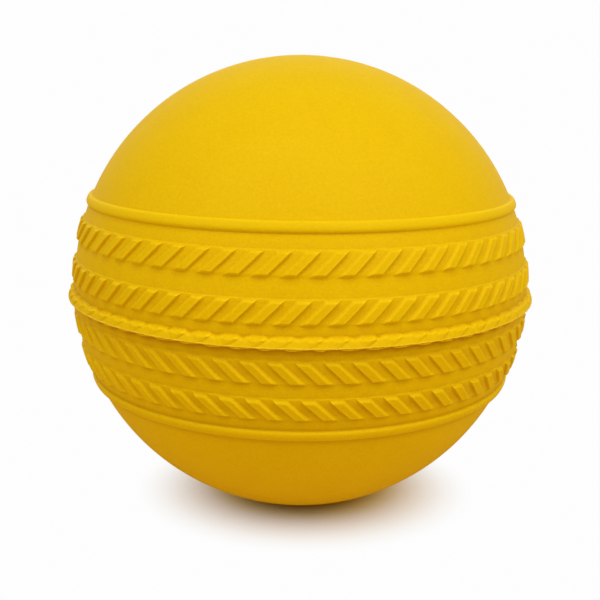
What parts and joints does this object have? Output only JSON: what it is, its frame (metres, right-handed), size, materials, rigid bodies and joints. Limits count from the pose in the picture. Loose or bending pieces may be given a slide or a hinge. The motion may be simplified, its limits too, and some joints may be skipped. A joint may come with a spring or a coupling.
{
  "type": "moulded practice cricket ball",
  "caption": "Hollow moulded rubber practice ball with a rope-like centre ridge, rows of slanted stitch-like bars and two bead rings, made of bonded half shells.",
  "frame": {"origin": "middle of the ball", "axes": "+Z through the poles, square to the seam; longitude 0 of the bars faces -Y"},
  "size_m": [0.0742, 0.0742, 0.072],
  "materials": {
    "yellow_rubber": "satin moulded rubber with a fine grain",
    "rubber_cement": "cured rubber cement, satin"
  },
  "bodies": {
    "root": {"upper_half_shell": "yellow_rubber", "lower_half_shell": "yellow_rubber", "bond_ring": "rubber_cement"}
  },
  "joints": []
}
